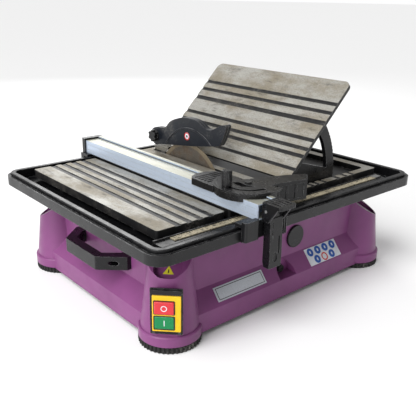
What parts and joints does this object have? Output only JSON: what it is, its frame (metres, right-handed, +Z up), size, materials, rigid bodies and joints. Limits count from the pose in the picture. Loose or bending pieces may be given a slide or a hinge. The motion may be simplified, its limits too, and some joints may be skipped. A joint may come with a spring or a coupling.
{
  "type": "wet tile saw",
  "caption": "Bench wet tile saw with a plastic base, black water tray, grooved metal tables, one raised to tilt, a guarded diamond blade, rip fence, mitre gauge and push-button switch.",
  "frame": {"origin": "on the floor under the centre of the saw's bounding box", "axes": "+X to the right along the front with the switch leg, +Y to the back, +Z up"},
  "size_m": [0.64, 0.566, 0.3727],
  "materials": {
    "purple_plastic": "satin",
    "black_plastic": "satin",
    "guard_plastic": "satin",
    "black_rubber": "matte",
    "zinc_steel": "satin",
    "grey_metal": "satin",
    "table_metal": "brushed",
    "rule_plastic": "matte",
    "blade_steel": "brushed",
    "diamond_grit": "rough",
    "bright_steel": "polished",
    "motor_paint": "satin",
    "lamination_steel": "matte",
    "copper_wire": "satin",
    "cast_aluminium": "cast",
    "bearing_chrome": "polished",
    "capacitor_case": "gloss",
    "fence_aluminium": "anodised",
    "yellow_plastic": "gloss",
    "red_plastic": "gloss",
    "green_plastic": "gloss",
    "plate_aluminium": "satin"
  },
  "bodies": {
    "saw": {"base_housing": "purple_plastic", "rubber_feet": "black_rubber", "water_tank": "black_plastic", "cable_gland": "black_rubber", "tray_frame": "black_plastic", "pan_head_screws": "zinc_steel", "front_rule": "rule_plastic", "rule_end_stop": "grey_metal", "side_table": "table_metal", "main_table": "table_metal", "quadrant_guides": "black_plastic", "motor_housing": "motor_paint", "stator": "lamination_steel", "stator_windings": "copper_wire", "motor_end_shields": "cast_aluminium", "shaft_bearings": "bearing_chrome", "fan_cover": "black_plastic", "shaft_seal": "black_rubber", "motor_base_plate": "grey_metal", "run_capacitor": "capacitor_case", "riving_knife": "bright_steel", "knife_bracket": "grey_metal", "knife_bolts": "zinc_steel", "carry_handles": "black_plastic", "handle_and_switch_screws": "zinc_steel", "switch_plate": "black_plastic", "switch_case": "black_plastic", "switch_bezel": "yellow_plastic", "name_plate": "plate_aluminium"},
    "arbor": {"motor_shaft": "bright_steel", "rotor_core": "lamination_steel", "cooling_fan": "black_plastic", "inner_flange": "grey_metal", "blade_core": "blade_steel", "diamond_rim": "diamond_grit", "outer_flange": "grey_metal", "arbor_nut": "zinc_steel"},
    "tilting_table": {"tilt_table": "table_metal", "tilt_quadrants": "black_plastic", "tilt_table_screws": "zinc_steel"},
    "front_latch": {"tilt_latch_front": "black_plastic"},
    "rear_latch": {"tilt_latch_rear": "black_plastic"},
    "stop_switch": {"stop_button": "red_plastic"},
    "start_switch": {"start_button": "green_plastic"},
    "guard": {"guard_left_shell": "guard_plastic", "guard_right_shell": "guard_plastic", "guard_bolt": "zinc_steel"},
    "guard_nut": {"guard_knob": "black_plastic"},
    "fence": {"fence_rail": "fence_aluminium", "fence_front_clamp": "black_plastic", "fence_rear_clamp": "black_plastic", "fence_screws": "zinc_steel", "lever_pin": "bright_steel"},
    "lever": {"clamp_lever": "black_plastic"},
    "mitre_shoe": {"gauge_shoe": "black_plastic", "gauge_pivot_screw": "zinc_steel"},
    "mitre_head": {"gauge_head": "black_plastic"},
    "mitre_nut": {"gauge_knob": "black_plastic"},
    "cap": {"front_cap": "black_plastic"},
    "plug": {"drain_plug": "black_rubber"}
  },
  "joints": [
    {"name": "blade_spin", "type": "hinge", "parent": "saw", "child": "arbor", "pos_m": [0.007, 0.091, 0.134], "axis": [1, 0, 0], "continuous": true},
    {"name": "table_tilt", "type": "hinge", "parent": "saw", "child": "tilting_table", "pos_m": [0.0089, 0.012, 0.2053], "axis": [0, 1, 0], "range_deg": [0, 45]},
    {"name": "front_latch_slide", "type": "slide", "parent": "saw", "child": "front_latch", "axis": [1, 0, 0], "range_m": [0, 0.004], "stiffness_N_per_m": 250, "springref_m": -0.001},
    {"name": "rear_latch_slide", "type": "slide", "parent": "saw", "child": "rear_latch", "axis": [1, 0, 0], "range_m": [0, 0.004], "stiffness_N_per_m": 250, "springref_m": -0.001},
    {"name": "stop_press", "type": "slide", "parent": "saw", "child": "stop_switch", "axis": [0.7071, 0.7071, 0], "range_m": [0, 0.003], "stiffness_N_per_m": 600, "springref_m": -0.0005},
    {"name": "start_press", "type": "slide", "parent": "saw", "child": "start_switch", "axis": [0.7071, 0.7071, 0], "range_m": [0, 0.003], "stiffness_N_per_m": 600, "springref_m": -0.0005},
    {"name": "guard_lift", "type": "hinge", "parent": "saw", "child": "guard", "pos_m": [0.007, 0.2, 0.231], "axis": [-1, 0, 0], "range_deg": [0, 50]},
    {"name": "guard_knob_turn", "type": "hinge", "parent": "guard", "child": "guard_nut", "pos_m": [-0.005, 0.2, 0.231], "axis": [-1, 0, 0], "continuous": true},
    {"name": "fence_slide", "type": "slide", "parent": "saw", "child": "fence", "axis": [-1, 0, 0], "range_m": [-0.06, 0.12]},
    {"name": "lever_swing", "type": "hinge", "parent": "fence", "child": "lever", "pos_m": [-0.105, -0.253, 0.214], "axis": [-1, 0, 0], "range_deg": [0, 80]},
    {"name": "gauge_slide", "type": "slide", "parent": "fence", "child": "mitre_shoe", "axis": [0, 1, 0], "range_m": [-0.005, 0.185]},
    {"name": "gauge_swivel", "type": "hinge", "parent": "mitre_shoe", "child": "mitre_head", "pos_m": [-0.088, -0.178, 0.232], "axis": [0, 0, 1], "range_deg": [-30, 40]},
    {"name": "gauge_knob_turn", "type": "hinge", "parent": "mitre_shoe", "child": "mitre_nut", "pos_m": [-0.12606, -0.16744, 0.24], "axis": [0, 0, 1], "continuous": true},
    {"name": "cap_pull", "type": "slide", "parent": "saw", "child": "cap", "axis": [0, -1, 0], "range_m": [0, 0.03]},
    {"name": "plug_pull", "type": "slide", "parent": "saw", "child": "plug", "axis": [0, -1, 0], "range_m": [0, 0.03]}
  ]
}
